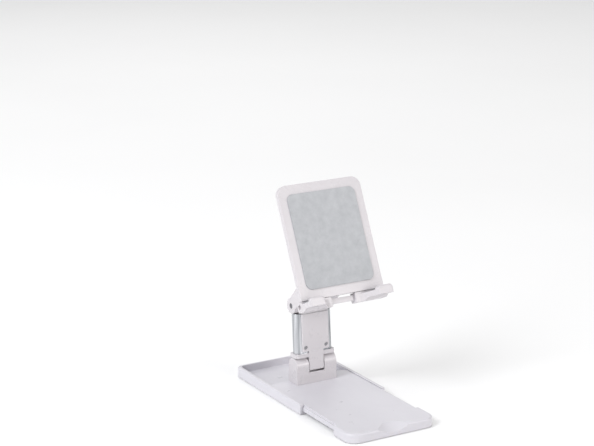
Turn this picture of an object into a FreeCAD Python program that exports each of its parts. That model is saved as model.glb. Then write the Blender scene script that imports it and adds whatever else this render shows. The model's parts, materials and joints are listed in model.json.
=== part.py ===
import FreeCAD, Part
import math
import os

import Sketcher

# Adjustable tablet stand.  Millimetres, +Z up, the cradle faces -Y.
# Origin: middle of the footprint on the table, with the base pulled out.
#
# Four straight frames are used, one for each rigid stage of the stand:
#   base    the table frame
#   lower   origin on the base hinge, +Z along the lower arm
#   upper   origin on the elbow hinge, +Z along the upper arm
#   cradle  origin on the cradle hinge, +Z up along the back plate, the tablet on -Y

doc = FreeCAD.newDocument("tablet_stand")
sheet = doc.addObject("Spreadsheet::Sheet", "Sizes")


# ---------------------------------------------------------------- sizes
class Size:
    """A number together with the expression that binds it to the sheet."""

    def __init__(self, text, value):
        self.text = text
        self.value = value

    def __add__(self, other):
        other = as_size(other)
        return Size(f"({self.text} + {other.text})", self.value + other.value)

    def __sub__(self, other):
        other = as_size(other)
        return Size(f"({self.text} - {other.text})", self.value - other.value)

    def __mul__(self, other):
        other = as_size(other)
        return Size(f"({self.text} * {other.text})", self.value * other.value)

    def __truediv__(self, other):
        other = as_size(other)
        return Size(f"({self.text} / {other.text})", self.value / other.value)

    def __neg__(self):
        return Size(f"(-1 * {self.text})", -self.value)

    def __radd__(self, other):
        return as_size(other) + self

    def __rsub__(self, other):
        return as_size(other) - self

    def __rmul__(self, other):
        return as_size(other) * self


def as_size(number):
    """A plain number as a Size; a Size stays as it is."""
    if isinstance(number, Size):
        return number
    return Size(repr(float(number)), float(number))


def sine(angle):
    return Size(f"sin({angle.text} * 1 deg)", math.sin(math.radians(angle.value)))


def cosine(angle):
    return Size(f"cos({angle.text} * 1 deg)", math.cos(math.radians(angle.value)))


def size(alias, value):
    """One driving dimension: a cell of the sheet with a name."""
    size.row += 1
    cell = f"A{size.row}"
    sheet.set(cell, str(value))
    sheet.setAlias(cell, alias)
    return Size(f"Sizes.{alias}", float(value))


size.row = 0

# base
base_width = size("base_width", 61.3)
hinge_to_front = size("hinge_to_front", 93.2)
slide_travel = size("slide_travel", 38.0)
end_gap = size("end_gap", 0.3)
slide_gap = size("slide_gap", 0.25)
rim_height = size("rim_height", 6.7)
foot_lift = size("foot_lift", 0.4)
tray_wall = size("tray_wall", 1.8)
tray_floor = size("tray_floor", 1.5)
tray_corner = size("tray_corner", 4.5)
rim_lip = size("rim_lip", 0.7)
rim_round = size("rim_round", 0.8)
ledge_height = size("ledge_height", 4.9)
deck_height = size("deck_height", 6.2)
deck_skin = size("deck_skin", 1.5)
deck_side = size("deck_side", 3.1)
deck_rear_wall = size("deck_rear_wall", 1.6)
deck_corner = size("deck_corner", 3.4)
lip_length = size("lip_length", 18.8)
lip_corner = size("lip_corner", 7.5)
lip_bevel = size("lip_bevel", 1.4)
scoop_half = size("scoop_half", 15.0)
scoop_radius = size("scoop_radius", 20.0)
scoop_slope = size("scoop_slope", 24.0)
scoop_front = size("scoop_front", 2.6)
foot_radius = size("foot_radius", 3.5)
foot_recess = size("foot_recess", 0.6)
foot_inset = size("foot_inset", 6.0)
lip_foot_inset = size("lip_foot_inset", 9.0)
weight_thickness = size("weight_thickness", 1.6)
cover_thickness = size("cover_thickness", 0.9)
stop_length = size("stop_length", 3.0)
stop_height = size("stop_height", 1.1)
stop_seat = size("stop_seat", 1.2)
groove_depth = size("groove_depth", 0.8)

# hinges
hinge_height = size("hinge_height", 17.4)
block_width = size("block_width", 28.6)
block_depth = size("block_depth", 10.6)
base_tongue = size("base_tongue", 10.4)
base_slot = size("base_slot", 11.4)
window_sill = size("window_sill", 13.3)
tongue_gap = size("tongue_gap", 0.25)
shoulder_gap = size("shoulder_gap", 0.25)
neck_depth = size("neck_depth", 7.8)
apron_drop = size("apron_drop", 3.0)
running_gap = size("running_gap", 0.05)
bowl_radius = size("bowl_radius", 6.0)
base_pin_radius = size("base_pin_radius", 2.0)
elbow_pin_radius = size("elbow_pin_radius", 1.8)
cradle_pin_radius = size("cradle_pin_radius", 1.8)
washer_radius = size("washer_radius", 4.2)
washer_thickness = size("washer_thickness", 0.4)
pin_recess = size("pin_recess", 0.3)
pin_cap_radius = size("pin_cap_radius", 2.6)
pin_cap_thickness = size("pin_cap_thickness", 0.8)
block_screw_side = size("block_screw_side", 9.6)
block_screw_radius = size("block_screw_radius", 1.4)
block_screw_top = size("block_screw_top", 13.0)
block_screw_head = size("block_screw_head", 2.7)
screw_gap = size("screw_gap", 0.2)

# lower arm
lower_length = size("lower_length", 39.1)
lower_lean = size("lower_lean", 4.0)
shoulder_height = size("shoulder_height", 2.55)
shoulder_depth = size("shoulder_depth", 9.2)
shoulder_round = size("shoulder_round", 2.4)
sleeve_width = size("sleeve_width", 26.8)
sleeve_depth = size("sleeve_depth", 7.8)
sleeve_wall = size("sleeve_wall", 1.0)
face_width = size("face_width", 19.3)
face_thickness = size("face_thickness", 1.0)
face_bottom = size("face_bottom", 9.5)
face_bevel = size("face_bevel", 0.3)
face_screw_side = size("face_screw_side", 7.4)
face_screw_offset = size("face_screw_offset", 2.6)
back_screw_drop = size("back_screw_drop", 4.9)
small_head_radius = size("small_head_radius", 1.3)
small_head_height = size("small_head_height", 0.5)
head_recess = size("head_recess", 0.2)
small_screw_radius = size("small_screw_radius", 0.8)
small_screw_reach = size("small_screw_reach", 3.5)
spigot_length = size("spigot_length", 7.0)
spar_width = size("spar_width", 12.0)
spar_thickness = size("spar_thickness", 2.0)
spar_socket = size("spar_socket", 4.0)

# elbow and upper arm
elbow_tongue = size("elbow_tongue", 18.8)
elbow_slot = size("elbow_slot", 19.8)
knuckle_radius = size("knuckle_radius", 4.9)
upper_length = size("upper_length", 32.4)
upper_lean = size("upper_lean", 43.0)
upper_depth = size("upper_depth", 8.6)
upper_shoulder = size("upper_shoulder", 5.4)
upper_round = size("upper_round", 1.2)
top_tongue = size("top_tongue", 13.5)
cavity_inset = size("cavity_inset", 3.0)
cavity_ledge = size("cavity_ledge", 1.4)
cavity_floor = size("cavity_floor", 1.8)
cover_screw_inset = size("cover_screw_inset", 3.5)
strut_width = size("strut_width", 12.0)
strut_thickness = size("strut_thickness", 2.6)

# cradle
plate_lean = size("plate_lean", 25.4)
pad_distance = size("pad_distance", 12.0)
plate_width = size("plate_width", 58.8)
plate_top = size("plate_top", 57.0)
tablet_drop = size("tablet_drop", 15.0)
tablet_room = size("tablet_room", 7.4)
plate_thickness = size("plate_thickness", 4.2)
plate_corner = size("plate_corner", 6.0)
plate_round = size("plate_round", 1.6)
pad_width = size("pad_width", 48.0)
pad_margin = size("pad_margin", 6.0)
pad_proud = size("pad_proud", 0.6)
pad_recess = size("pad_recess", 0.5)
pad_corner = size("pad_corner", 4.0)
lug_slot = size("lug_slot", 14.4)
lug_thickness = size("lug_thickness", 5.0)
bracket_width = size("bracket_width", 28.0)
bracket_height = size("bracket_height", 18.0)
bracket_thickness = size("bracket_thickness", 1.8)
bracket_screw_rise = size("bracket_screw_rise", 7.0)
cradle_washer = size("cradle_washer", 0.25)

# hooks
hook_inner = size("hook_inner", 8.5)
foot_back = size("foot_back", 4.6)
foot_front = size("foot_front", 11.0)
foot_top_drop = size("foot_top_drop", 0.2)
foot_height = size("foot_height", 6.2)
plate_drop = size("plate_drop", 14.0)
sweep_start = size("sweep_start", 12.6)
sweep_end = size("sweep_end", 19.4)
sweep_round = size("sweep_round", 4.0)
lip_thickness = size("lip_thickness", 2.6)
lip_rise = size("lip_rise", 1.6)
lip_round = size("lip_round", 1.1)
lip_crown = size("lip_crown", 2.2)
arm_thickness = size("arm_thickness", 3.3)
arm_pad = size("arm_pad", 0.6)
arm_start = size("arm_start", 12.2)
arm_slope = size("arm_slope", 2.3)
strip_gap = size("strip_gap", 0.3)
bar_height = size("bar_height", 3.2)
bar_depth = size("bar_depth", 3.2)
bar_socket = size("bar_socket", 3.0)
rod_radius = size("rod_radius", 1.0)
rod_depth = size("rod_depth", 7.2)
rod_below = size("rod_below", 2.8)
rod_recess = size("rod_recess", 1.2)
rod_hole = size("rod_hole", 1.5)
tab_inner = size("tab_inner", 14.6)
tab_outer = size("tab_outer", 26.0)
tab_height = size("tab_height", 10.0)
tab_thickness = size("tab_thickness", 1.6)
tab_screw_rise = size("tab_screw_rise", 6.5)
tab_screw_inner = size("tab_screw_inner", 17.0)
tab_screw_outer = size("tab_screw_outer", 23.6)

# worked out from the driving sizes
half_width = base_width / 2
block_half = block_depth / 2
hinge_to_rear = block_half + slide_travel + end_gap + tray_wall
half_length = (hinge_to_front + hinge_to_rear) / 2
hinge_y = half_length - hinge_to_rear
lip_rear = lip_length - half_length
tray_front = lip_rear + slide_travel + end_gap
channel_half = half_width - tray_wall
mouth_half = channel_half - rim_lip
floor_top = foot_lift + tray_floor
slide_bottom = floor_top + slide_gap
slide_half = channel_half - slide_gap
step_half = mouth_half - slide_gap
slide_rear = hinge_y + block_half
cavity_half = slide_half - deck_side
cavity_front = lip_rear + deck_side
cavity_rear = slide_rear - deck_rear_wall
cavity_top = deck_height - deck_skin
stop_bottom = slide_bottom + cover_thickness
weight_bottom = cavity_top - weight_thickness
head_seat = head_recess + small_head_height
small_screw_end = head_seat + small_screw_reach
shoulder_bottom = block_half + shoulder_gap
sleeve_bottom = shoulder_bottom + shoulder_height
sleeve_top = lower_length - knuckle_radius - tongue_gap
sleeve_half = sleeve_depth / 2
face_front = sleeve_half + face_thickness
core_half_depth = sleeve_half - sleeve_wall
core_half_width = sleeve_width / 2 - sleeve_wall
upper_top = upper_length - upper_shoulder
plate_front = pad_distance - pad_proud
plate_back = plate_front - plate_thickness
foot_top = -plate_drop - foot_top_drop
foot_bottom = foot_top - foot_height
arm_top = -tablet_drop - arm_pad
arm_bottom = arm_top - arm_thickness
lip_back = pad_distance + tablet_room
lip_front = lip_back + lip_thickness
lip_top = lip_rise - tablet_drop
rod_drop = foot_top - rod_below
plate_half = plate_width / 2

# frame origins: (y, z) of each hinge and the turn about +X
elbow_y = hinge_y + lower_length * sine(lower_lean)
elbow_z = hinge_height + lower_length * cosine(lower_lean)
cradle_y = elbow_y - upper_length * sine(upper_lean)
cradle_z = elbow_z + upper_length * cosine(upper_lean)
FRAMES = {
    "lower": (hinge_y, hinge_height, -lower_lean),
    "upper": (elbow_y, elbow_z, upper_lean),
    "cradle": (cradle_y, cradle_z, -plate_lean),
}
doc.recompute()

NODES = []
TOLERANCE = 0.01
BEYOND = as_size(2.0)


# ---------------------------------------------------------------- helpers
def bind(target, field, rule):
    """Tie one property of an object to its rule."""
    target.setExpression(field, as_size(rule).text)


def place(target, frame):
    """Put a sub-part in the frame of its stage."""
    if frame == "base":
        return
    along, up, turn = FRAMES[frame]
    start = FreeCAD.Rotation(FreeCAD.Vector(1, 0, 0), turn.value)
    target.Placement = FreeCAD.Placement(FreeCAD.Vector(0, along.value, up.value), start)
    bind(target, "Placement.Base.y", along)
    bind(target, "Placement.Base.z", up)
    bind(target, "Placement.Rotation.Angle", turn)


def new_body(label, frame="base"):
    """An empty body, which becomes one sub-part."""
    body = doc.addObject("PartDesign::Body", label)
    body.Label = label
    place(body, frame)
    NODES.append(body)
    return body


def new_sketch(body, plane, offset=0):
    """A sketch on one of the body's own origin planes, moved along its normal.

    The normal of XY is +Z, that of XZ is -Y and that of YZ is +X.
    """
    sketch = body.newObject("Sketcher::SketchObject", "Sketch")
    for feature in body.Origin.OriginFeatures:
        if feature.Role == f"{plane}_Plane":
            sketch.AttachmentSupport = [(feature, "")]
    sketch.MapMode = "FlatFace"
    bind(sketch, "AttachmentOffset.Base.z", offset)
    return sketch


def hold(sketch, geometry, point, across, up):
    """Fix a sketch point at its two signed distances from the origin."""
    for kind, rule, axis in (("DistanceX", across, -2), ("DistanceY", up, -1)):
        if abs(rule.value) < TOLERANCE:
            sketch.addConstraint(Sketcher.Constraint("PointOnObject", geometry, point, axis))
            continue
        made = Sketcher.Constraint(kind, -1, 1, geometry, point, rule.value)
        index = sketch.addConstraint(made)
        bind(sketch, f"Constraints[{index}]", rule)


def polygon(sketch, points):
    """A closed outline of straight lines through the given corners."""
    corners = [(as_size(across), as_size(up)) for across, up in points]
    vectors = [FreeCAD.Vector(across.value, up.value, 0) for across, up in corners]
    first = sketch.GeometryCount
    count = len(corners)
    for index in range(count):
        line = Part.LineSegment(vectors[index], vectors[(index + 1) % count])
        sketch.addGeometry(line)
    for index in range(count):
        here = first + index
        following = first + (index + 1) % count
        sketch.addConstraint(Sketcher.Constraint("Coincident", here, 2, following, 1))
    for index, (across, up) in enumerate(corners):
        hold(sketch, first + index, 1, across, up)


def rectangle(sketch, left, right, low, high):
    polygon(sketch, [(left, low), (right, low), (right, high), (left, high)])


def rounded_rectangle(sketch, left, right, low, high, radius):
    """A closed rectangle with four equal round corners, counter-clockwise."""
    inner = [(right - radius, low + radius), (right - radius, high - radius),
             (left + radius, high - radius), (left + radius, low + radius)]
    corners = [(as_size(across), as_size(up)) for across, up in inner]
    quarter = math.pi / 2
    arcs = []
    for index, (across, up) in enumerate(corners):
        centre = FreeCAD.Vector(across.value, up.value, 0)
        round_ = Part.Circle(centre, FreeCAD.Vector(0, 0, 1), radius.value)
        start = (index - 1) * quarter
        arcs.append(sketch.addGeometry(Part.ArcOfCircle(round_, start, start + quarter)))
        hold(sketch, arcs[-1], 3, across, up)
        made = sketch.addConstraint(Sketcher.Constraint("Radius", arcs[-1], radius.value))
        bind(sketch, f"Constraints[{made}]", radius)
    for index, arc in enumerate(arcs):
        following = arcs[(index + 1) % len(arcs)]
        from_point = sketch.getPoint(arc, 2)
        to_point = sketch.getPoint(following, 1)
        line = sketch.addGeometry(Part.LineSegment(from_point, to_point))
        sketch.addConstraint(Sketcher.Constraint("Tangent", arc, 2, line, 1))
        sketch.addConstraint(Sketcher.Constraint("Tangent", line, 2, following, 1))


def dip(sketch, half, low, high, radius):
    """A closed region above a smooth dip that is level at its middle and at both ends."""
    drop = high - low
    outer = (half * half + drop * drop) / (drop * 2) - radius
    turn = math.atan2(half.value, (radius + outer - drop).value)
    up = math.pi / 2
    plane = FreeCAD.Vector(0, 0, 1)
    bowl = Part.Circle(FreeCAD.Vector(0, (low + radius).value, 0), plane, radius.value)
    middle = sketch.addGeometry(Part.ArcOfCircle(bowl, -up - turn, turn - up))
    hold(sketch, middle, 3, as_size(0), low + radius)
    made = sketch.addConstraint(Sketcher.Constraint("Radius", middle, radius.value))
    bind(sketch, f"Constraints[{made}]", radius)
    for side in (-1, 1):
        centre = FreeCAD.Vector(side * half.value, (high - outer).value, 0)
        crest = Part.Circle(centre, plane, outer.value)
        start, end = (up, up + turn) if side > 0 else (up - turn, up)
        arc = sketch.addGeometry(Part.ArcOfCircle(crest, start, end))
        level, join = (1, 2) if side > 0 else (2, 1)
        hold(sketch, arc, level, half if side > 0 else -half, high)
        sketch.addConstraint(Sketcher.Constraint("Vertical", arc, level, arc, 3))
        bowl_end = 2 if side > 0 else 1
        sketch.addConstraint(Sketcher.Constraint("Tangent", arc, join, middle, bowl_end))
    lid = high + BEYOND
    corners = [(-half, high), (-half, lid), (half, lid), (half, high)]
    points = [FreeCAD.Vector(across.value, up_.value, 0) for across, up_ in corners]
    first = sketch.GeometryCount
    for index in range(len(points) - 1):
        sketch.addGeometry(Part.LineSegment(points[index], points[index + 1]))
    for index in range(len(points) - 2):
        sketch.addConstraint(Sketcher.Constraint("Coincident", first + index, 2, first + index + 1, 1))
    hold(sketch, first + 1, 1, -half, lid)
    hold(sketch, first + 1, 2, half, lid)
    sketch.addConstraint(Sketcher.Constraint("Coincident", first, 1, middle + 1, 2))
    sketch.addConstraint(Sketcher.Constraint("Coincident", first + 2, 2, middle + 2, 1))


def circle(sketch, across, up, radius):
    """A circle at a signed place in the sketch."""
    across = as_size(across)
    up = as_size(up)
    radius = as_size(radius)
    centre = FreeCAD.Vector(across.value, up.value, 0)
    index = sketch.addGeometry(Part.Circle(centre, FreeCAD.Vector(0, 0, 1), radius.value))
    hold(sketch, index, 3, across, up)
    made = sketch.addConstraint(Sketcher.Constraint("Radius", index, radius.value))
    bind(sketch, f"Constraints[{made}]", radius)


def extrude(body, kind, sketch, length, middle=False):
    """A pad or pocket that runs along the sketch's normal, or both ways from it."""
    feature = body.newObject(f"PartDesign::{kind}", kind)
    feature.Profile = sketch
    bind(feature, "Length", length)
    feature.Midplane = middle
    if kind == "Pocket" and not middle:
        feature.Reversed = True
    doc.recompute()
    return feature


def pad(body, sketch, length, middle=False):
    return extrude(body, "Pad", sketch, length, middle)


def pocket(body, sketch, length, middle=False):
    """Cut the sketch out of the body, and make sure that something went."""
    before = body.Shape.Volume
    made = extrude(body, "Pocket", sketch, length, middle)
    if body.Shape.Volume > before - TOLERANCE:
        raise RuntimeError(f"a pocket of {body.Label} cuts nothing")
    return made


def pick(body, along, x=None, y=None, z=None):
    """Names of the straight edges along one axis whose middle is at the given place.

    An axis of None takes any direction. x is a distance either side of the middle plane, y and z are signed.
    """
    direction = {"x": (1, 0, 0), "y": (0, 1, 0), "z": (0, 0, 1)}.get(along)
    names = []
    for index, edge in enumerate(body.Tip.Shape.Edges, 1):
        if len(edge.Vertexes) < 2:
            continue
        run = edge.Vertexes[1].Point - edge.Vertexes[0].Point
        if direction and abs(FreeCAD.Vector(*direction).dot(run)) < edge.Length - TOLERANCE:
            continue
        centre = edge.CenterOfMass
        wanted = ((x, abs(centre.x)), (y, centre.y), (z, centre.z))
        if all(rule is None or abs(as_size(rule).value - place_) < TOLERANCE
               for rule, place_ in wanted):
            names.append(f"Edge{index}")
    return names


def dress(body, kind, field, names, amount):
    """A fillet or chamfer on the named edges."""
    if not names:
        raise RuntimeError(f"no edge of {body.Label} to round")
    base = body.Tip
    feature = body.newObject(f"PartDesign::{kind}", kind)
    feature.Base = (base, names)
    bind(feature, field, amount)
    doc.recompute()
    return feature


def fillet(body, names, radius):
    return dress(body, "Fillet", "Radius", names, radius)


def chamfer(body, names, width):
    return dress(body, "Chamfer", "Size", names, width)


def cylinder(label, axis, centre, radius, start, end):
    """A cylinder along one axis, from start to end, about a point of the other two axes."""
    shape = doc.addObject("Part::Cylinder", label)
    bind(shape, "Radius", radius)
    bind(shape, "Height", as_size(end) - start)
    if axis == "x":
        turn = FreeCAD.Rotation(FreeCAD.Vector(0, 1, 0), 90)
        fields = zip(("x", "y", "z"), (start, *centre))
    elif axis == "y":
        turn = FreeCAD.Rotation(FreeCAD.Vector(1, 0, 0), -90)
        fields = zip(("y", "x", "z"), (start, *centre))
    else:
        turn = FreeCAD.Rotation()
        fields = zip(("z", "x", "y"), (start, *centre))
    shape.Placement = FreeCAD.Placement(FreeCAD.Vector(), turn)
    for field, rule in fields:
        bind(shape, f"Placement.Base.{field}", rule)
    return shape


def fused(label, pieces):
    made = doc.addObject("Part::MultiFuse", label)
    made.Shapes = pieces
    return made


def cut(label, base, tool):
    made = doc.addObject("Part::Cut", label)
    made.Base = base
    made.Tool = tool
    return made


def group(label, pieces, frame="base"):
    """Several equal pieces that share one node."""
    made = doc.addObject("Part::Compound", label)
    made.Links = pieces
    made.Label = label
    place(made, frame)
    NODES.append(made)
    return made


def ring(label, centre, outer, inner, start, end):
    """A flat washer about an axis along X."""
    disc = cylinder(f"{label}_disc", "x", centre, outer, start, end)
    bore = cylinder(f"{label}_bore", "x", centre, inner, start, end)
    return cut(label, disc, bore)


def screw(label, place_, head_radius, head, shank_radius, shank):
    """A screw along Y or Z: axis, centre, then the head's and the shank's span."""
    axis, centre = place_
    top = cylinder(f"{label}_head", axis, centre, head_radius, *head)
    stem = cylinder(f"{label}_shank", axis, centre, shank_radius, *shank)
    return fused(label, [top, stem])


# ---------------------------------------------------------------- base: tray
def make_base_tray():
    """Outer sleeve of the base: a shallow tray that is open at the front."""
    body = new_body("base_tray")
    outside = new_sketch(body, "XY", foot_lift)
    rectangle(outside, -half_width, half_width, tray_front, half_length)
    pad(body, outside, rim_height - foot_lift)
    fillet(body, pick(body, "z", x=half_width, y=half_length), tray_corner)

    inner_rear = half_length - tray_wall
    inner_corner = deck_corner - end_gap
    inner_front = tray_front - BEYOND - inner_corner
    lip_under = ledge_height + slide_gap
    channel = new_sketch(body, "XY", floor_top)
    rounded_rectangle(channel, -channel_half, channel_half, inner_front, inner_rear, inner_corner)
    pocket(body, channel, lip_under - floor_top)
    mouth = new_sketch(body, "XY", lip_under - TOLERANCE)
    rounded_rectangle(mouth, -mouth_half, mouth_half, inner_front, inner_rear, inner_corner)
    pocket(body, mouth, rim_height - lip_under + BEYOND)

    grooves = new_sketch(body, "XY", stop_bottom - slide_gap)
    stop_half = stop_length / 2 + end_gap
    for side in (-1, 1):
        rectangle(grooves, side * (mouth_half - BEYOND), side * (channel_half + groove_depth),
                  hinge_y - stop_half, hinge_y + slide_travel + stop_half)
    pocket(body, grooves, stop_height + slide_gap * 2)

    rim = pick(body, "y", x=half_width, z=rim_height) + pick(body, "x", y=half_length, z=rim_height)
    fillet(body, rim, rim_round)
    cut_foot_seats(body, tray_foot_places())
    return body


def tray_foot_places():
    side = half_width - foot_inset
    return [(sign * side, along) for sign in (-1, 1)
            for along in (tray_front + foot_inset, half_length - foot_inset - tray_wall)]


def lip_foot_places():
    side = half_width - lip_foot_inset
    return [(sign * side, lip_foot_inset - half_length) for sign in (-1, 1)]


def cut_foot_seats(body, places):
    seats = new_sketch(body, "XY", foot_lift - BEYOND)
    for across, along in places:
        circle(seats, across, along, foot_radius)
    pocket(body, seats, foot_recess + BEYOND)


def make_feet(label, places):
    pads = [cylinder(f"{label}_{index}", "z", place_, foot_radius, 0, foot_lift + foot_recess)
            for index, place_ in enumerate(places)]
    return group(label, pads)


# ---------------------------------------------------------------- base: slide
def make_slide_deck():
    """Sliding half of the base: hollow deck with a full-width front lip."""
    body = new_body("slide_deck")
    hidden_front = lip_rear - BEYOND - deck_corner
    lower = new_sketch(body, "XY", slide_bottom)
    rounded_rectangle(lower, -slide_half, slide_half, hidden_front, slide_rear, deck_corner)
    pad(body, lower, ledge_height - slide_bottom)
    upper = new_sketch(body, "XY", ledge_height)
    rounded_rectangle(upper, -step_half, step_half, hidden_front, slide_rear, deck_corner)
    pad(body, upper, deck_height - ledge_height)

    lip = new_sketch(body, "XY", foot_lift)
    rectangle(lip, -half_width, half_width, -half_length, lip_rear)
    pad(body, lip, deck_height - foot_lift)
    fillet(body, pick(body, "z", x=half_width, y=-half_length), lip_corner)
    scoop = new_sketch(body, "XZ", half_length)
    turn = FreeCAD.Rotation(FreeCAD.Vector(1, 0, 0), scoop_slope.value)
    scoop.AttachmentOffset = FreeCAD.Placement(scoop.AttachmentOffset.Base, turn)
    bind(scoop, "AttachmentOffset.Rotation.Angle", scoop_slope)
    dip(scoop, scoop_half, scoop_front * cosine(scoop_slope), deck_height * cosine(scoop_slope),
        scoop_radius)
    both_ways = lip_length * 2
    pocket(body, scoop, both_ways, middle=True)
    fillet(body, pick(body, "x", y=-half_length, z=deck_height), lip_bevel)

    hollow = new_sketch(body, "XY", slide_bottom - BEYOND)
    rectangle(hollow, -cavity_half, cavity_half, cavity_front, cavity_rear)
    pocket(body, hollow, cavity_top - slide_bottom + BEYOND)

    holes = new_sketch(body, "XY", cavity_top - BEYOND / 2)
    for side in (-1, 1):
        circle(holes, side * block_screw_side, hinge_y, block_screw_radius + screw_gap)
    pocket(body, holes, deck_skin + BEYOND)
    seats = new_sketch(body, "XY", stop_bottom)
    for side in (-1, 1):
        rectangle(seats, side * (slide_half - stop_seat), side * (slide_half + BEYOND),
                  hinge_y - stop_length / 2, hinge_y + stop_length / 2)
    pocket(body, seats, stop_height)
    cut_foot_seats(body, lip_foot_places())
    return body


def make_slide_weight():
    """Steel plate inside the deck that keeps the stand from tipping."""
    body = new_body("slide_weight")
    outline = new_sketch(body, "XY", weight_bottom)
    rectangle(outline, slide_gap - cavity_half, cavity_half - slide_gap,
              cavity_front + slide_gap, cavity_rear - slide_gap)
    pad(body, outline, weight_thickness)
    holes = new_sketch(body, "XY", weight_bottom - BEYOND / 2)
    for side in (-1, 1):
        circle(holes, side * block_screw_side, hinge_y, block_screw_head + screw_gap)
    pocket(body, holes, weight_thickness + BEYOND)


def make_slide_cover():
    """Thin plate that closes the underside of the deck."""
    body = new_body("slide_cover")
    outline = new_sketch(body, "XY", slide_bottom)
    rectangle(outline, -cavity_half, cavity_half, cavity_front, cavity_rear)
    pad(body, outline, cover_thickness)


def make_slide_stops():
    """A small lug on each side of the slide, which stops it at both ends of the tray's groove."""
    lugs = []
    width = stop_seat + slide_gap + groove_depth / 2
    for index, side in enumerate((-1, 1)):
        lug = doc.addObject("Part::Box", f"stop_{index}")
        bind(lug, "Length", width)
        bind(lug, "Width", stop_length)
        bind(lug, "Height", stop_height)
        inner = slide_half - stop_seat
        bind(lug, "Placement.Base.x", inner if side > 0 else -inner - width)
        bind(lug, "Placement.Base.y", hinge_y - stop_length / 2)
        bind(lug, "Placement.Base.z", stop_bottom)
        lugs.append(lug)
    group("slide_stops", lugs)


def make_hinge_block():
    """Two cheeks on a solid foot, with a slot for the arm's tongue."""
    body = new_body("hinge_block")
    foot = new_sketch(body, "XY", deck_height)
    rectangle(foot, -block_width / 2, block_width / 2, hinge_y - block_half, hinge_y + block_half)
    pad(body, foot, hinge_height - deck_height)
    crown = new_sketch(body, "YZ")
    circle(crown, hinge_y, hinge_height, block_half)
    pad(body, crown, block_width, middle=True)

    bowl = new_sketch(body, "YZ")
    circle(bowl, hinge_y, hinge_height, bowl_radius)
    pocket(body, bowl, base_slot, middle=True)
    window = new_sketch(body, "YZ")
    rectangle(window, hinge_y - block_depth, hinge_y + block_depth,
              window_sill, hinge_height + block_depth)
    pocket(body, window, base_slot, middle=True)

    bore = new_sketch(body, "YZ", pin_cap_thickness - block_width / 2 + pin_recess)
    circle(bore, hinge_y, hinge_height, base_pin_radius)
    pocket(body, bore, block_width)
    seat = new_sketch(body, "YZ", block_width / 2 - pin_cap_thickness)
    circle(seat, hinge_y, hinge_height, pin_cap_radius)
    pocket(body, seat, BEYOND)

    threads = new_sketch(body, "XY", deck_height - BEYOND)
    for side in (-1, 1):
        circle(threads, side * block_screw_side, hinge_y, block_screw_radius)
    pocket(body, threads, block_screw_top - deck_height + BEYOND)


def make_block_screws():
    head_height = weight_thickness - screw_gap
    screws = []
    for index, side in enumerate((-1, 1)):
        centre = (side * block_screw_side, hinge_y)
        screws.append(screw(f"block_screw_{index}", ("z", centre),
                            block_screw_head, (cavity_top - head_height, cavity_top),
                            block_screw_radius, (cavity_top - TOLERANCE, block_screw_top)))
    group("hinge_block_screws", screws)


def make_base_pin():
    """Steel pin of the base hinge, its cap and the friction washers beside the tongue."""
    centre = (hinge_y, hinge_height)
    inner_end = pin_cap_thickness + pin_recess - block_width / 2
    outer_end = block_width / 2 - pin_cap_thickness
    pin = cylinder("base_hinge_pin", "x", centre, base_pin_radius, inner_end, outer_end)
    NODES.append(pin)
    cap = cylinder("base_pin_cap", "x", centre, pin_cap_radius, outer_end, block_width / 2)
    NODES.append(cap)
    cheek = base_slot / 2
    washers = [
        ring("base_washer_left", centre, washer_radius, base_pin_radius,
             -cheek, washer_thickness - cheek),
        ring("base_washer_right", centre, washer_radius, base_pin_radius,
             cheek - washer_thickness, cheek),
    ]
    group("base_friction_washers", washers)


# ---------------------------------------------------------------- lower arm
def make_lower_foot():
    """Tongue with a flat front that turns in the hinge block, and the shoulder under the sleeve."""
    body = new_body("lower_arm_foot", "lower")
    tongue = new_sketch(body, "YZ")
    circle(tongue, 0, 0, face_front)
    pad(body, tongue, base_tongue, middle=True)
    neck = new_sketch(body, "YZ")
    rectangle(neck, -neck_depth / 2, neck_depth / 2, 0, shoulder_bottom + TOLERANCE)
    pad(body, neck, base_tongue, middle=True)
    apron = new_sketch(body, "YZ")
    rectangle(apron, -face_front, 0, -apron_drop, shoulder_bottom + TOLERANCE)
    pad(body, apron, base_tongue, middle=True)
    shoulder = new_sketch(body, "XY", shoulder_bottom)
    rectangle(shoulder, -block_width / 2, block_width / 2, -shoulder_depth / 2, shoulder_depth / 2)
    pad(body, shoulder, shoulder_height)
    fillet(body, pick(body, "z", x=block_width / 2), shoulder_round)
    riser = new_sketch(body, "XY", shoulder_bottom)
    rectangle(riser, -base_tongue / 2, base_tongue / 2, -face_front, -sleeve_half)
    pad(body, riser, face_bottom - shoulder_bottom)
    add_spigot(body, sleeve_bottom - TOLERANCE, spigot_length)
    bore = new_sketch(body, "YZ")
    circle(bore, 0, 0, base_pin_radius + running_gap)
    pocket(body, bore, block_width, middle=True)
    add_spar_socket(body, sleeve_bottom + spigot_length - spar_socket)
    add_small_screw_holes(body, -1, face_bottom + face_screw_offset, small_screw_radius, small_screw_end)


def add_spigot(body, low, length):
    """The part of an end piece that plugs into the sleeve."""
    spigot = new_sketch(body, "XY", low)
    core_side = core_half_width - core_half_depth
    rectangle(spigot, -core_side, core_side, -core_half_depth, core_half_depth)
    pad(body, spigot, length)


def add_spar_socket(body, low):
    socket = new_sketch(body, "XY", low)
    rectangle(socket, -spar_width / 2, spar_width / 2, -spar_thickness / 2, spar_thickness / 2)
    pocket(body, socket, spar_socket)


def add_small_screw_holes(body, facing, height, radius, reach):
    """A pair of small holes down to one depth in the front (-1) or back (1) of an arm piece."""
    holes = new_sketch(body, "XZ", face_front - reach if facing < 0 else -face_front)
    for side in (-1, 1):
        circle(holes, side * face_screw_side, height, radius)
    pocket(body, holes, reach)


def face_top():
    return sleeve_top - tongue_gap


def back_screw_height():
    return face_top() - back_screw_drop


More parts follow.
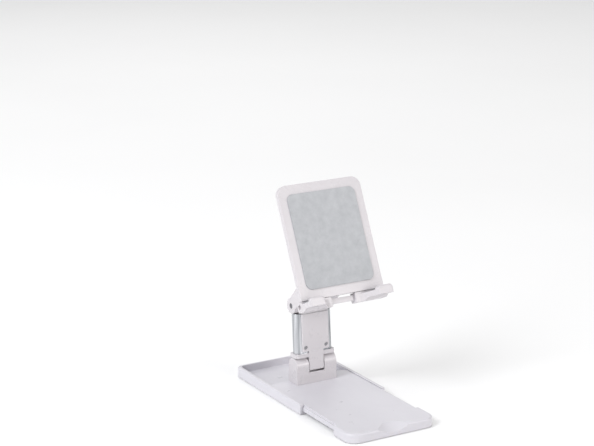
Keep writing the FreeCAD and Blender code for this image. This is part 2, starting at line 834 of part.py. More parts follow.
def make_lower_sleeve():
    """Chrome tube with half-round sides between the two hinges."""
    body = new_body("lower_arm_sleeve", "lower")
    length = sleeve_top - sleeve_bottom
    side = sleeve_width / 2 - sleeve_half
    flat = new_sketch(body, "XY", sleeve_bottom)
    rectangle(flat, -side, side, -sleeve_half, sleeve_half)
    pad(body, flat, length)
    rounds = new_sketch(body, "XY", sleeve_bottom)
    for sign in (-1, 1):
        circle(rounds, sign * side, 0, sleeve_half)
    pad(body, rounds, length)
    hollow = new_sketch(body, "XY", sleeve_bottom - BEYOND / 2)
    rectangle(hollow, -side, side, -core_half_depth, core_half_depth)
    pocket(body, hollow, length + BEYOND)
    hollow_rounds = new_sketch(body, "XY", sleeve_bottom - BEYOND / 2)
    for sign in (-1, 1):
        circle(hollow_rounds, sign * side, 0, core_half_depth)
    pocket(body, hollow_rounds, length + BEYOND)
    add_small_screw_holes(body, -1, face_bottom + face_screw_offset, small_screw_radius, small_screw_end)
    add_small_screw_holes(body, 1, back_screw_height(), small_screw_radius, small_screw_end)


def make_face_plate(label, facing, screw_height):
    """White cover on the front (-1) or back (1) of the sleeve."""
    body = new_body(label, "lower")
    start = sleeve_half if facing < 0 else -face_front
    outline = new_sketch(body, "XZ", start)
    rectangle(outline, -face_width / 2, face_width / 2, face_bottom, face_top())
    pad(body, outline, face_thickness)
    outer = face_front if facing > 0 else -face_front
    chamfer(body, pick(body, "z", x=face_width / 2, y=outer), face_bevel)
    add_small_screw_holes(body, facing, screw_height, small_screw_radius, small_screw_end)
    add_small_screw_holes(body, facing, screw_height, small_head_radius, head_seat)


def make_small_screws(label, facing, height):
    """The two screws of a face plate, with heads sunk just below its surface."""
    outer = face_front - head_recess
    under = face_front - head_seat
    tip = face_front - small_screw_end
    screws = []
    for index, side in enumerate((-1, 1)):
        centre = (side * face_screw_side, height)
        head = (-outer, -under) if facing < 0 else (under, outer)
        stem = (-under - TOLERANCE, -tip) if facing < 0 else (tip, under + TOLERANCE)
        screws.append(screw(f"{label}_{index}", ("y", centre), small_head_radius, head,
                            small_screw_radius, stem))
    group(label, screws, "lower")


def make_lower_spar():
    """Steel strip that ties the two end pieces together inside the sleeve."""
    body = new_body("lower_arm_spar", "lower")
    low = sleeve_bottom + spigot_length - spar_socket
    high = sleeve_top - spigot_length + spar_socket
    outline = new_sketch(body, "XY", low)
    rectangle(outline, -spar_width / 2, spar_width / 2, -spar_thickness / 2, spar_thickness / 2)
    pad(body, outline, high - low)


def make_lower_head():
    """Wide tongue at the elbow, flush with the front plate."""
    body = new_body("lower_arm_head", "lower")
    tongue = new_sketch(body, "YZ")
    circle(tongue, 0, lower_length, knuckle_radius)
    pad(body, tongue, elbow_tongue, middle=True)
    neck = new_sketch(body, "XY", sleeve_top)
    rectangle(neck, -elbow_tongue / 2, elbow_tongue / 2, -face_front, face_front)
    pad(body, neck, knuckle_radius)
    add_spigot(body, sleeve_top - spigot_length, spigot_length + TOLERANCE)
    bore = new_sketch(body, "YZ")
    circle(bore, 0, lower_length, elbow_pin_radius + running_gap)
    pocket(body, bore, block_width, middle=True)
    add_spar_socket(body, sleeve_top - spigot_length)
    add_small_screw_holes(body, 1, back_screw_height(), small_screw_radius, small_screw_end)


# ---------------------------------------------------------------- upper arm
def make_upper_body():
    """Fork at the elbow, a box-shaped arm and a tongue at the cradle."""
    body = new_body("upper_arm_body", "upper")
    depth = upper_depth / 2
    knuckle = new_sketch(body, "YZ")
    circle(knuckle, 0, 0, knuckle_radius)
    pad(body, knuckle, block_width, middle=True)
    box = new_sketch(body, "YZ")
    rectangle(box, -depth, depth, 0, upper_top)
    pad(body, box, block_width, middle=True)
    slot = new_sketch(body, "YZ")
    rectangle(slot, -block_depth, block_depth, -block_depth, upper_shoulder)
    pocket(body, slot, elbow_slot, middle=True)
    fillet(body, pick(body, "x", y=-depth, z=upper_top) + pick(body, "x", y=depth, z=upper_top),
           upper_round)

    tongue = new_sketch(body, "YZ")
    circle(tongue, 0, upper_length, knuckle_radius)
    pad(body, tongue, top_tongue, middle=True)
    neck = new_sketch(body, "YZ")
    rectangle(neck, -neck_depth / 2, neck_depth / 2, upper_top - upper_round, upper_length)
    pad(body, neck, top_tongue, middle=True)
    for height, radius in ((as_size(0), elbow_pin_radius),
                           (upper_length, cradle_pin_radius + running_gap)):
        bore = new_sketch(body, "YZ")
        circle(bore, 0, height, radius)
        pocket(body, bore, block_width + BEYOND, middle=True)

    outer_half = block_width / 2 - cavity_inset
    seat = new_sketch(body, "XZ", -depth - BEYOND)
    rectangle(seat, -outer_half, outer_half,
              upper_shoulder + cavity_inset, upper_top - cavity_inset)
    pocket(body, seat, BEYOND + face_thickness)
    inner_half = outer_half - cavity_ledge
    cavity = new_sketch(body, "XZ", -depth - BEYOND)
    rectangle(cavity, -inner_half, inner_half,
              upper_shoulder + cavity_inset + cavity_ledge,
              upper_top - cavity_inset - cavity_ledge)
    pocket(body, cavity, upper_depth - cavity_floor + BEYOND)


def upper_screw_heights():
    low = upper_shoulder + cavity_inset + cover_screw_inset
    high = upper_top - cavity_inset - cover_screw_inset
    return (low, high)


def make_upper_cover():
    """Lid over the arm's cavity, on its rear side."""
    body = new_body("upper_arm_cover", "upper")
    depth = upper_depth / 2
    half = block_width / 2 - cavity_inset
    outline = new_sketch(body, "XZ", -depth)
    rectangle(outline, -half, half, upper_shoulder + cavity_inset, upper_top - cavity_inset)
    pad(body, outline, face_thickness)
    holes = new_sketch(body, "XZ", -depth - BEYOND / 2)
    seats = new_sketch(body, "XZ", -depth)
    for height in upper_screw_heights():
        circle(holes, 0, height, small_screw_radius)
        circle(seats, 0, height, small_head_radius)
    pocket(body, holes, face_thickness + BEYOND)
    pocket(body, seats, head_seat)


def make_upper_strut():
    """Steel block in the arm that the cover's screws hold on to."""
    body = new_body("upper_arm_strut", "upper")
    rear = cavity_floor - upper_depth / 2 + strut_thickness
    outline = new_sketch(body, "XZ", -rear)
    rectangle(outline, -strut_width / 2, strut_width / 2,
              upper_shoulder + cavity_inset + cavity_ledge,
              upper_top - cavity_inset - cavity_ledge)
    pad(body, outline, strut_thickness)
    holes = new_sketch(body, "XZ", -rear - BEYOND / 2)
    for height in upper_screw_heights():
        circle(holes, 0, height, small_screw_radius)
    pocket(body, holes, strut_thickness + BEYOND)


def make_upper_screws():
    outer = upper_depth / 2 - head_recess
    under = upper_depth / 2 - head_seat
    tip = cavity_floor - upper_depth / 2
    screws = []
    for index, height in enumerate(upper_screw_heights()):
        screws.append(screw(f"upper_screw_{index}", ("y", (0, height)), small_head_radius,
                            (under, outer), small_screw_radius, (tip, under + TOLERANCE)))
    group("upper_arm_screws", screws, "upper")


def make_elbow_pin():
    """Steel pin through the fork; its ends show in the fork's sides."""
    end = block_width / 2 - pin_recess
    pin = cylinder("elbow_pin_bar", "x", (0, 0), elbow_pin_radius, -end, end)
    group("elbow_pin", [pin], "upper")
    cheek = elbow_slot / 2
    washers = [
        ring("elbow_washer_left", (0, 0), washer_radius, elbow_pin_radius,
             -cheek, washer_thickness - cheek),
        ring("elbow_washer_right", (0, 0), washer_radius, elbow_pin_radius,
             cheek - washer_thickness, cheek),
    ]
    group("elbow_friction_washers", washers, "upper")


# ---------------------------------------------------------------- cradle
def make_cradle_pin():
    """Pin of the cradle hinge, held in the bracket, and the friction washers on it."""
    end = lug_slot / 2 + lug_thickness - pin_recess
    pin = cylinder("cradle_pin_bar", "x", (0, 0), cradle_pin_radius, -end, end)
    group("cradle_pin", [pin], "cradle")
    far = lug_slot / 2
    near = far - cradle_washer
    washers = [
        ring("cradle_washer_left", (0, 0), washer_radius, cradle_pin_radius, -far, -near),
        ring("cradle_washer_right", (0, 0), washer_radius, cradle_pin_radius, near, far),
    ]
    group("cradle_friction_washers", washers, "cradle")


def make_cradle_bracket():
    """Two lugs on a base that is screwed to the back plate."""
    body = new_body("cradle_bracket", "cradle")
    outer = lug_slot / 2 + lug_thickness
    base = new_sketch(body, "XZ", plate_back - bracket_thickness)
    rectangle(base, -bracket_width / 2, bracket_width / 2, -bracket_height / 2, bracket_height / 2)
    pad(body, base, bracket_thickness)
    lugs = new_sketch(body, "YZ")
    rectangle(lugs, bracket_thickness / 2 - plate_back, 0, -knuckle_radius, knuckle_radius)
    pad(body, lugs, outer * 2, middle=True)
    rounds = new_sketch(body, "YZ")
    circle(rounds, 0, 0, knuckle_radius)
    pad(body, rounds, outer * 2, middle=True)
    slot = new_sketch(body, "YZ")
    rectangle(slot, bracket_thickness - plate_back, block_depth, -block_depth, block_depth)
    pocket(body, slot, lug_slot, middle=True)
    bore = new_sketch(body, "YZ")
    circle(bore, 0, 0, cradle_pin_radius)
    pocket(body, bore, block_width, middle=True)
    cut_screw_seats(body, bracket_thickness, bracket_screw_places())


def cut_screw_seats(body, thickness, places):
    """Clearance holes and head seats in a piece that is screwed to the back of the plate."""
    holes = new_sketch(body, "XZ", plate_back - thickness - BEYOND / 2)
    seats = new_sketch(body, "XZ", plate_back - thickness)
    for across, up in places:
        circle(holes, across, up, small_screw_radius)
        circle(seats, across, up, small_head_radius)
    pocket(body, holes, thickness + BEYOND)
    pocket(body, seats, head_seat)


def make_plate_screws(label, thickness, places):
    """The screws that hold a piece of this thickness to the back of the plate."""
    surface = thickness - plate_back
    outer = surface - head_recess
    under = surface - head_seat
    tip = surface - small_screw_end
    screws = []
    for index, centre in enumerate(places):
        screws.append(screw(f"{label}_{index}", ("y", centre), small_head_radius,
                            (under, outer), small_screw_radius, (tip, under + TOLERANCE)))
    group(label, screws, "cradle")


def bracket_screw_places():
    side = lug_slot / 2 + lug_thickness / 2
    return [(sign * side, up * bracket_screw_rise) for sign in (-1, 1) for up in (-1, 1)]


def make_cradle_plate():
    """Back plate behind the tablet."""
    body = new_body("cradle_plate", "cradle")
    outline = new_sketch(body, "XZ", plate_back)
    rectangle(outline, -plate_half, plate_half, -plate_drop, plate_top)
    pad(body, outline, plate_thickness)
    fillet(body, pick(body, "y", x=plate_half, z=plate_top), plate_corner)
    rear_edges = pick(body, "z", x=plate_half, y=-plate_back) \
        + pick(body, "x", y=-plate_back, z=plate_top)
    fillet(body, rear_edges, plate_round)
    seat = new_sketch(body, "XZ", plate_front - pad_recess)
    rectangle(seat, -pad_width / 2, pad_width / 2, pad_margin - plate_drop, plate_top - pad_margin)
    pocket(body, seat, BEYOND)
    fillet(body, pick(body, "y", x=pad_width / 2), pad_corner)
    tab_places = tab_screw_places(1) + tab_screw_places(-1)
    for thickness, places in ((bracket_thickness, bracket_screw_places()),
                              (tab_thickness, tab_places)):
        holes = new_sketch(body, "XZ", plate_back)
        for across, up in places:
            circle(holes, across, up, small_screw_radius)
        pocket(body, holes, small_screw_end - thickness)


def make_cradle_pad():
    """Silicone sheet that the tablet's back rests on."""
    body = new_body("cradle_pad", "cradle")
    outline = new_sketch(body, "XZ", plate_front - pad_recess)
    rectangle(outline, -pad_width / 2, pad_width / 2, pad_margin - plate_drop, plate_top - pad_margin)
    pad(body, outline, pad_recess + pad_proud)
    fillet(body, pick(body, "y", x=pad_width / 2), pad_corner)


def tab_screw_places(side):
    height = foot_top + tab_screw_rise
    return [(side * tab_screw_inner, height), (side * tab_screw_outer, height)]


def make_hook(label, side):
    """One J-shaped hook: side is 1 on the right and -1 on the left."""
    body = new_body(label, "cradle")
    plan = new_sketch(body, "XY", foot_bottom)
    polygon(plan, [
        (side * hook_inner, -foot_back), (side * hook_inner, -foot_front),
        (side * sweep_start, -foot_front), (side * sweep_end, -lip_front),
        (side * plate_half, -lip_front), (side * plate_half, -foot_back),
    ])
    pad(body, plan, lip_top - foot_bottom)
    fillet(body, pick(body, "z", x=sweep_start, y=-foot_front), sweep_round)

    over = new_sketch(body, "YZ")
    polygon(over, [
        (-lip_back, arm_top), (-lip_back, BEYOND), (block_depth, BEYOND),
        (block_depth, foot_top), (-foot_front, foot_top), (-foot_front, arm_top),
    ])
    pocket(body, over, base_width, middle=True)
    under = new_sketch(body, "YZ")
    polygon(under, [
        (-arm_start, foot_bottom), (-arm_start - arm_slope, arm_bottom),
        (-lip_front - BEYOND, arm_bottom), (-lip_front - BEYOND, foot_bottom - BEYOND),
        (-arm_start, foot_bottom - BEYOND),
    ])
    pocket(body, under, base_width, middle=True)
    long_edges = pick(body, "x", z=lip_top)
    ends = [name for name in pick(body, None, z=lip_top) if name not in long_edges]
    fillet(body, ends, lip_crown)
    fillet(body, pick(body, "x", y=-lip_front, z=lip_top), lip_round)
    fillet(body, pick(body, "x", y=-foot_back, z=foot_bottom), lip_round)

    tab = new_sketch(body, "XZ", plate_back - tab_thickness)
    rectangle(tab, side * tab_inner, side * tab_outer, foot_top - arm_pad, foot_top + tab_height)
    pad(body, tab, tab_thickness)
    cut_screw_seats(body, tab_thickness, tab_screw_places(side))

    bore = new_sketch(body, "YZ")
    circle(bore, -rod_depth, rod_drop, rod_radius)
    pocket(body, bore, plate_width, middle=True)
    rim = new_sketch(body, "YZ", plate_half - rod_recess if side > 0 else -plate_half - BEYOND)
    circle(rim, -rod_depth, rod_drop, rod_hole)
    pocket(body, rim, rod_recess + BEYOND)
    socket = new_sketch(body, "YZ")
    rectangle(socket, -rod_depth - bar_depth / 2, bar_depth / 2 - rod_depth,
              rod_drop - bar_height / 2, rod_drop + bar_height / 2)
    pocket(body, socket, (hook_inner + bar_socket) * 2, middle=True)


def make_hook_bar():
    """Thin bar that joins the two hooks."""
    body = new_body("hook_bar", "cradle")
    section = new_sketch(body, "YZ")
    rectangle(section, -rod_depth - bar_depth / 2, bar_depth / 2 - rod_depth,
              rod_drop - bar_height / 2, rod_drop + bar_height / 2)
    pad(body, section, (hook_inner + bar_socket) * 2, middle=True)
    bore = new_sketch(body, "YZ")
    circle(bore, -rod_depth, rod_drop, rod_radius)
    pocket(body, bore, base_width, middle=True)


def make_hook_rod():
    """Steel rod that runs through the bar and both hooks."""
    end = plate_half - rod_recess
    rod = cylinder("hook_rod_bar", "x", (-rod_depth, rod_drop), rod_radius, -end, end)
    group("hook_rod", [rod], "cradle")


def make_hook_pads():
    """A silicone strip on each hook, under the tablet's edge."""
    strips = []
    width = plate_half - sweep_end - lip_thickness
    for index, side in enumerate((-1, 1)):
        strip = doc.addObject("Part::Box", f"hook_strip_{index}")
        bind(strip, "Length", width)
        bind(strip, "Width", lip_back - foot_front - strip_gap * 2)
        bind(strip, "Height", arm_pad)
        start = plate_half - lip_round - width if side > 0 else lip_round - plate_half
        bind(strip, "Placement.Base.x", start)
        bind(strip, "Placement.Base.y", strip_gap - lip_back)
        bind(strip, "Placement.Base.z", arm_top)
        strips.append(strip)
    group("hook_pads", strips, "cradle")


# ---------------------------------------------------------------- build and write
make_base_tray()
make_feet("tray_feet", tray_foot_places())
make_slide_deck()
make_slide_weight()
make_slide_cover()
make_slide_stops()
make_feet("lip_feet", lip_foot_places())
make_hinge_block()
make_block_screws()
make_base_pin()
make_lower_foot()
make_lower_sleeve()
make_lower_spar()
make_lower_head()
make_face_plate("front_plate", -1, face_bottom + face_screw_offset)
make_small_screws("front_plate_screws", -1, face_bottom + face_screw_offset)
make_face_plate("rear_plate", 1, back_screw_height())
make_small_screws("rear_plate_screws", 1, back_screw_height())
make_upper_body()
make_upper_cover()
make_upper_strut()
make_upper_screws()
make_elbow_pin()
make_cradle_pin()
make_cradle_bracket()
make_plate_screws("cradle_bracket_screws", bracket_thickness, bracket_screw_places())
make_cradle_plate()
make_cradle_pad()
make_hook("left_hook", -1)
make_hook("right_hook", 1)
make_hook_bar()
make_hook_rod()
make_hook_pads()
make_plate_screws("hook_screws", tab_thickness, tab_screw_places(1) + tab_screw_places(-1))
doc.recompute()

for item in doc.Objects:
    if "Invalid" in item.State or "Error" in item.State:
        raise RuntimeError(f"{item.Label} failed: {item.State}")
for node in NODES:
    if node.Shape.isNull() or not node.Shape.isValid():
        raise RuntimeError(f"{node.Label} has no valid shape")

os.makedirs("parts", exist_ok=True)
for node in NODES:
    node.Shape.exportStep(f"parts/{node.Label}.step")
print(f"{len(NODES)} sub-parts")
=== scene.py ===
import json
import math

import bmesh
import bpy
from mathutils import Matrix, Vector


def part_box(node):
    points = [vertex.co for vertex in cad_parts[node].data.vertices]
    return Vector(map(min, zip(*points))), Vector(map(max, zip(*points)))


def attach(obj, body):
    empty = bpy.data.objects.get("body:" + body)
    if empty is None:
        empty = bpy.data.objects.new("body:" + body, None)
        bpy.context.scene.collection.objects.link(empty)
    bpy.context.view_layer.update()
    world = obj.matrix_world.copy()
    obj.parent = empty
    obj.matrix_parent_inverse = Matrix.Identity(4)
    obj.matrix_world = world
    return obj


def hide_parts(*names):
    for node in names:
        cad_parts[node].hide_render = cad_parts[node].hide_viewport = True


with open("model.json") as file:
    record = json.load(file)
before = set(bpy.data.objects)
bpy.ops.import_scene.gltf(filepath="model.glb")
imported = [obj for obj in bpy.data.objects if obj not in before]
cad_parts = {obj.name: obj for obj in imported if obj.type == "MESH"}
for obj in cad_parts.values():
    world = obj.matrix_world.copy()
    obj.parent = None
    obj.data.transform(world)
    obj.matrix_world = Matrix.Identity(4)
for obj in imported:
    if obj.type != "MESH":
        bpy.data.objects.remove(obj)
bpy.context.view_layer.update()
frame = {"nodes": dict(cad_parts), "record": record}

# ------------------------------------------------------------------ materials
# All sizes are in metres: noise scales are cells per metre of object space.


PLASTIC_EDGE = 0.0004
FINE_EDGE = 0.0002
MIX_A, MIX_B, MIX_RESULT = 6, 7, 2      # a Mix node's colour sockets


class Nodes:
    """A material's node tree, with short ways to add and join nodes."""

    def __init__(self, name):
        self.material = bpy.data.materials.new(name)
        self.material.use_nodes = True
        self.tree = self.material.node_tree
        self.shader = self.tree.nodes["Principled BSDF"]
        self.place = self.tree.nodes.new("ShaderNodeTexCoord")

    def add(self, kind, inputs=(), **fields):
        node = self.tree.nodes.new(kind)
        for key, value in fields.items():
            setattr(node, key, value)
        for key, value in dict(inputs).items():
            self.put(node.inputs[key], value)
        return node

    def put(self, socket, value):
        if isinstance(value, bpy.types.NodeSocket):
            self.tree.links.new(value, socket)
        else:
            socket.default_value = value

    def set(self, **values):
        for key, value in values.items():
            self.put(self.shader.inputs[key.replace("_", " ")], value)

    def noise(self, scale, detail=3.0, rough=0.55, stretch=(1, 1, 1)):
        mapping = self.add("ShaderNodeMapping", {"Scale": stretch})
        self.put(mapping.inputs["Vector"], self.place.outputs["Object"])
        node = self.add("ShaderNodeTexNoise",
                        {"Scale": scale, "Detail": detail, "Roughness": rough})
        self.put(node.inputs["Vector"], mapping.outputs["Vector"])
        return node.outputs["Fac"]

    def ramp(self, value, low, high, start=0.3, end=0.7):
        node = self.add("ShaderNodeValToRGB")
        node.color_ramp.elements[0].position = start
        node.color_ramp.elements[0].color = (*low, 1)
        node.color_ramp.elements[1].position = end
        node.color_ramp.elements[1].color = (*high, 1)
        self.put(node.inputs["Fac"], value)
        return node.outputs["Color"]

    def span(self, value, low, high):
        node = self.add("ShaderNodeMapRange",
                        {"From Min": 0.3, "From Max": 0.7, "To Min": low, "To Max": high})
        self.put(node.inputs["Value"], value)
        return node.outputs["Result"]

    def bump(self, height, strength, distance, under=None):
        node = self.add("ShaderNodeBump", {"Strength": strength, "Distance": distance})
        self.put(node.inputs["Height"], height)
        if under is not None:
            self.put(node.inputs["Normal"], under)
        return node.outputs["Normal"]

    def rounded_normal(self, radius):
        """The normal, softened over each edge."""
        return self.add("ShaderNodeBevel", {"Radius": radius}, samples=4).outputs["Normal"]

    def edge_mask(self, rounded):
        """1 on edges and 0 on flats, by how far the rounded normal turns from the true one."""
        flat = self.add("ShaderNodeNewGeometry")
        dot = self.add("ShaderNodeVectorMath", operation="DOT_PRODUCT")
        self.put(dot.inputs[0], rounded)
        self.put(dot.inputs[1], flat.outputs["Normal"])
        node = self.add("ShaderNodeMapRange",
                        {"From Min": 1.0, "From Max": 0.86, "To Min": 0.0, "To Max": 1.0})
        self.put(node.inputs["Value"], dot.outputs["Value"])
        return node.outputs["Result"]


def moulded_plastic(name, low, high, edge, gloss=0.30, grain=0.12):
    """Moulded white plastic: a fine grain, faint clouding and slightly paler edges."""
    n = Nodes(name)
    cloud = n.noise(38.0, 4.0, 0.6, (1.0, 0.6, 1.4))
    tone = n.ramp(cloud, low, high, 0.25, 0.75)
    soft = n.rounded_normal(PLASTIC_EDGE)
    edge_factor = n.edge_mask(soft)
    # base colour is mixed towards a paler colour on every edge
    mixed = n.add("ShaderNodeMix", {"Factor": edge_factor}, data_type="RGBA")
    n.put(mixed.inputs[MIX_A], tone)
    n.put(mixed.inputs[MIX_B], (*edge, 1))
    fine = n.noise(5200.0, 2.0, 0.5)
    smudge = n.noise(95.0, 5.0, 0.65)
    normal = n.bump(fine, grain, 0.00003, soft)
    n.set(Base_Color=mixed.outputs[MIX_RESULT],
          Roughness=n.span(smudge, gloss - 0.04, gloss + 0.07), Normal=normal,
          Metallic=0.0, IOR=1.47, Coat_Weight=0.06, Coat_Roughness=0.16)
    n.shader.inputs["Subsurface Weight"].default_value = 0.05
    n.shader.inputs["Subsurface Radius"].default_value = (1.0, 0.9, 0.85)
    n.shader.inputs["Subsurface Scale"].default_value = 0.0012
    return n.material


def brushed_metal(name, low, high, rough, grain_axis, scale=900.0):
    """Drawn or turned steel: fine lines along one axis, with a slightly uneven tone."""
    n = Nodes(name)
    stretch = [1.0, 1.0, 1.0]
    stretch[grain_axis] = 0.03
    lines = n.noise(scale, 3.0, 0.6, tuple(stretch))
    soft = n.rounded_normal(FINE_EDGE)
    patch = n.noise(160.0, 4.0, 0.6)
    tone = n.add("ShaderNodeMix", {"Factor": 0.35}, data_type="RGBA")
    n.put(tone.inputs[MIX_A], n.ramp(lines, low, high))
    n.put(tone.inputs[MIX_B], n.ramp(patch, low, high))
    n.set(Base_Color=tone.outputs[MIX_RESULT], Roughness=n.span(lines, rough - 0.05, rough + 0.08),
          Normal=n.bump(lines, 0.12, 0.00002, soft), Metallic=1.0)
    return n.material


def plated_chrome(name):
    """Satin-bright plating on a drawn tube: long streaks of lighter and darker metal painted into
    the base colour, a painted reflection of the bands a chrome tube mirrors.
    """
    n = Nodes(name)
    # painted reflection: long streaks along the tube that stand in for mirrored dark and light
    # bands
    painted_reflection_streaks = n.noise(420.0, 2.0, 0.5, (1.0, 1.0, 0.012))
    lines = n.noise(1900.0, 2.0, 0.5, (1.0, 1.0, 0.010))
    haze = n.noise(120.0, 5.0, 0.7)
    # the wide dark-to-light range of this base colour is painted reflection, not the metal's own
    # tone
    tone = n.ramp(painted_reflection_streaks, (0.26, 0.27, 0.29), (0.68, 0.69, 0.72), 0.36, 0.62)
    soft = n.rounded_normal(FINE_EDGE)
    n.set(Base_Color=tone, Roughness=n.span(haze, 0.13, 0.21),
          Normal=n.bump(lines, 0.06, 0.00001, soft), Metallic=1.0)
    return n.material


def soft_rubber(name, low, high, rough=0.62, grain=0.35):
    """Silicone or rubber: matte, faintly pebbled, with pale dust in random patches."""
    n = Nodes(name)
    dust = n.noise(210.0, 5.0, 0.65)
    tone = n.ramp(dust, low, high, 0.28, 0.72)
    pebble = n.add("ShaderNodeTexVoronoi", {"Scale": 2600.0}, feature="SMOOTH_F1")
    n.put(pebble.inputs["Vector"], n.place.outputs["Object"])
    soft = n.rounded_normal(FINE_EDGE)
    n.set(Base_Color=tone, Roughness=n.span(dust, rough - 0.05, rough + 0.1),
          Normal=n.bump(pebble.outputs["Distance"], grain, 0.00004, soft), Metallic=0.0,
          Sheen_Weight=0.05, Sheen_Roughness=0.4)
    return n.material


MATERIALS = {
    "base_plastic": moulded_plastic(
        "base_plastic", (0.610, 0.598, 0.640), (0.655, 0.642, 0.682), (0.76, 0.75, 0.78)),
    "shell_plastic": moulded_plastic(
        "shell_plastic", (0.595, 0.570, 0.592), (0.640, 0.614, 0.636), (0.76, 0.74, 0.76), 0.28),
    "inner_plastic": moulded_plastic(
        "inner_plastic", (0.52, 0.52, 0.54), (0.58, 0.58, 0.59), (0.66, 0.66, 0.67), 0.48, 0.3),
    "chrome_sleeve": plated_chrome("chrome_sleeve"),
    "inner_steel": brushed_metal(
        "inner_steel", (0.47, 0.48, 0.50), (0.60, 0.61, 0.63), 0.38, 1),
    "pin_steel": brushed_metal(
        "pin_steel", (0.16, 0.16, 0.17), (0.28, 0.28, 0.30), 0.34, 0),
    "screw_steel": brushed_metal(
        "screw_steel", (0.24, 0.24, 0.25), (0.42, 0.42, 0.44), 0.26, 1, 1600.0),
    "silicone": soft_rubber("silicone", (0.40, 0.41, 0.43), (0.49, 0.50, 0.52)),
    "foot_rubber": soft_rubber("foot_rubber", (0.14, 0.14, 0.15), (0.20, 0.20, 0.21), 0.7),
}

for part in frame["record"]["subparts"]:
    node = frame["nodes"][part["node"]]
    surface = MATERIALS[part["material_slot"]]
    if not node.material_slots:
        node.data.materials.append(surface)
    for slot in node.material_slots:
        slot.material = surface

# ------------------------------------------------------------------ screws

RECESS_REACH = 0.62     # of the head's radius
RECESS_WIDTH = 0.22     # of the head's radius
RECESS_DEPTH = 0.70     # of the head's height
RECESS_TAPER = 0.7      # its foot's size over its mouth's
HEAD_CHAMFER = 0.16     # of the head's radius
HEAD_SHARE = 0.9        # points past this share of the radius belong to the head
TIP_SHARE = 0.1         # the end of the length in which the shank's radius is read
SAME_POINT = 1e-6


def solids_of(node):
    """The points of each separate solid of a CAD node."""
    mesh = bmesh.new()
    mesh.from_mesh(node.data)
    mesh.transform(node.matrix_world)
    bmesh.ops.remove_doubles(mesh, verts=mesh.verts, dist=SAME_POINT)
    left, found = set(mesh.verts), []
    while left:
        front, group = [left.pop()], []
        while front:
            point = front.pop()
            group.append(point.co.copy())
            for edge in point.link_edges:
                other = edge.other_vert(point)
                if other in left:
                    left.remove(other)
                    front.append(other)
        found.append(group)
    mesh.free()
    return found


def turned(name, profile, steps=48):
    """A solid turned about Z from (radius, height) pairs that start and end on the axis."""
    mesh = bmesh.new()
    rings = []
    for radius, height in profile:
        if radius == 0.0:
            rings.append([mesh.verts.new((0.0, 0.0, height))])
            continue
        turns = [2 * math.pi * i / steps for i in range(steps)]
        rings.append([mesh.verts.new((radius * math.cos(turn), radius * math.sin(turn), height))
                      for turn in turns])
    for lower, upper in zip(rings, rings[1:]):
        for i in range(steps):
            j = (i + 1) % steps
            ring = [lower[0]] if len(lower) == 1 else [lower[i], lower[j]]
            ring += [upper[0]] if len(upper) == 1 else [upper[j], upper[i]]
            mesh.faces.new(ring)
    bmesh.ops.recalc_face_normals(mesh, faces=mesh.faces)
    data = bpy.data.meshes.new(name)
    mesh.to_mesh(data)
    mesh.free()
    return data


def cross_cutter(radius, height):
    """A four-armed recess that narrows as it goes down from z = 0."""
    reach, half = radius * RECESS_REACH, radius * RECESS_WIDTH / 2
    depth = height * RECESS_DEPTH
    outline = []
    for quarter in range(4):
        turn = Matrix.Rotation(quarter * math.pi / 2, 2)
        outline += [turn @ Vector(corner)
                    for corner in ((reach, -half), (reach, half), (half, half))]
    mesh = bmesh.new()
    top = [mesh.verts.new((x, y, height)) for x, y in outline]
    foot = [mesh.verts.new((x * RECESS_TAPER, y * RECESS_TAPER, -depth)) for x, y in outline]
    mesh.faces.new(top)
    mesh.faces.new(foot[::-1])
    for i in range(len(outline)):
        j = (i + 1) % len(outline)
        mesh.faces.new((top[j], top[i], foot[i], foot[j]))
    bmesh.ops.recalc_face_normals(mesh, faces=mesh.faces)
    data = bpy.data.meshes.new("cutter")
    mesh.to_mesh(data)
    mesh.free()
    return data


def screw(name, points, axis):
    """One screw with a chamfered head and a cross recess, in the room its CAD solid takes."""
    centre = sum(points, Vector()) / len(points)
    along = [(point - centre).dot(axis) for point in points]
    ring = [((point - centre) - axis * (point - centre).dot(axis)).length for point in points]
    radius, top, tip = max(ring), max(along), min(along)
    head = top - min(a for a, r in zip(along, ring) if r > HEAD_SHARE * radius)
    shank = max(r for a, r in zip(along, ring) if a < tip + TIP_SHARE * (top - tip))
    chamfer = radius * HEAD_CHAMFER
    profile = [(0.0, tip - top), (shank, tip - top), (shank, -head), (radius, -head),
               (radius, -chamfer), (radius - chamfer, 0.0), (0.0, 0.0)]
    body = bpy.data.objects.new(name, turned(name, profile))
    cutter = bpy.data.objects.new("cutter", cross_cutter(radius, head))
    for piece in (body, cutter):
        bpy.context.collection.objects.link(piece)
    cut = body.modifiers.new("recess", "BOOLEAN")
    cut.operation, cut.solver, cut.object = "DIFFERENCE", "EXACT", cutter
    bpy.context.view_layer.update()
    graph = bpy.context.evaluated_depsgraph_get()
    result = bpy.data.meshes.new_from_object(body.evaluated_get(graph))
    body.modifiers.clear()
    body.data = result
    bpy.data.objects.remove(cutter)
    place = axis.to_track_quat("Z", "Y").to_matrix().to_4x4()
    body.data.transform(Matrix.Translation(centre + axis * top) @ place)
    return body


def arm_axis():
    """Along the lower arm, from the base hinge's pin to the elbow's pin."""
    centres = []
    for pin in ("base_hinge_pin", "elbow_pin"):
        low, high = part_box(pin)
        centres.append((Vector(low) + Vector(high)) / 2)
    across = centres[1] - centres[0]
    across.x = 0.0
    return across.normalized()


def plate_screws():
    """The front and rear plates' screws, which the CAD has with plain heads."""
    forward = arm_axis().cross(Vector((1, 0, 0)))
    if forward.y > 0:
        forward.negate()
    for node, axis in (("front_plate_screws", forward), ("rear_plate_screws", -forward)):
        pieces = [screw(f"{node}_{i}", points, axis)
                  for i, points in enumerate(solids_of(frame["nodes"][node]), 1)]
        for piece in pieces:
            piece.data.materials.clear()
            piece.data.materials.append(MATERIALS["screw_steel"])
            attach(piece, "lower_arm")
            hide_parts(node)


plate_screws()

# ------------------------------------------------------------------ floor, light, camera

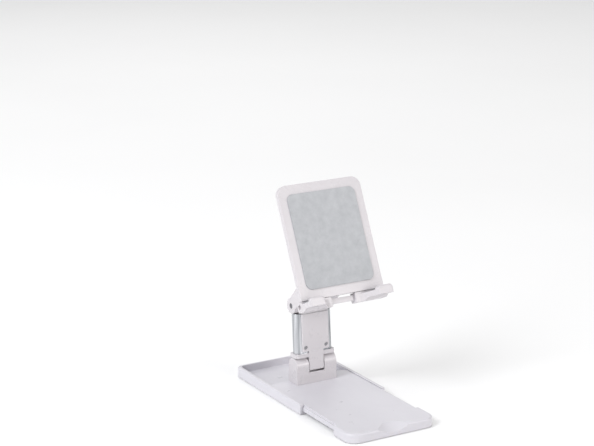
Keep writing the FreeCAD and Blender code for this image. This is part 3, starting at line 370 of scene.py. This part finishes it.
FLOOR_HALF = 6.0
AIM = (0.0, 0.0, 0.05)
CAMERA_PLACE = (-0.56966, -0.91594, 0.40946)
CAMERA_BACK = (-0.4925, -0.8293, 0.2640)     # from the view's centre towards the camera
CAMERA_LENS = 111.8

def floor():
    mesh = bpy.data.meshes.new("floor")
    grid = bmesh.new()
    bmesh.ops.create_grid(grid, x_segments=2, y_segments=2, size=FLOOR_HALF)
    grid.to_mesh(mesh)
    grid.free()
    piece = bpy.data.objects.new("floor", mesh)
    bpy.context.collection.objects.link(piece)
    n = Nodes("floor_paint")
    tone = n.ramp(n.noise(3.0, 3.0, 0.5), (0.93, 0.93, 0.93), (0.95, 0.95, 0.95))
    n.set(Base_Color=tone, Roughness=0.85)
    mesh.materials.append(n.material)


def area_light(name, place, target, size, watts, tint=(1.0, 1.0, 1.0)):
    data = bpy.data.lights.new(name, "AREA")
    data.shape = "RECTANGLE"
    data.size, data.size_y = size
    data.energy = watts
    data.color = tint
    piece = bpy.data.objects.new(name, data)
    piece.location = place
    aim = Vector(target) - Vector(place)
    piece.rotation_euler = aim.to_track_quat("-Z", "Y").to_euler()
    bpy.context.collection.objects.link(piece)


floor()
area_light("key", (-1.3, -0.2, 1.1), AIM, (0.8, 0.8), 17.0, (0.97, 0.98, 1.0))
area_light("front", (0.8, -1.7, 0.7), AIM, (0.7, 0.7), 11.0, (1.0, 0.97, 0.95))
area_light("back", (0.5, 1.3, 1.2), AIM, (1.2, 0.8), 5.0)

bpy.context.scene.view_settings.view_transform = "Standard"
world = bpy.data.worlds.new("studio")
bpy.context.scene.world = world
world.use_nodes = True
backdrop = world.node_tree.nodes["Background"]
backdrop.inputs["Color"].default_value = (1.0, 1.0, 1.0, 1)
backdrop.inputs["Strength"].default_value = 0.62

camera_data = bpy.data.cameras.new("camera")
camera_data.sensor_width = 36.0
camera_data.lens = CAMERA_LENS
camera_data.clip_start = 0.05
camera_data.clip_end = 20.0
camera = bpy.data.objects.new("camera", camera_data)
camera.location = CAMERA_PLACE
camera.rotation_euler = Vector(CAMERA_BACK).to_track_quat("Z", "Y").to_euler()
bpy.context.collection.objects.link(camera)
bpy.context.scene.camera = camera
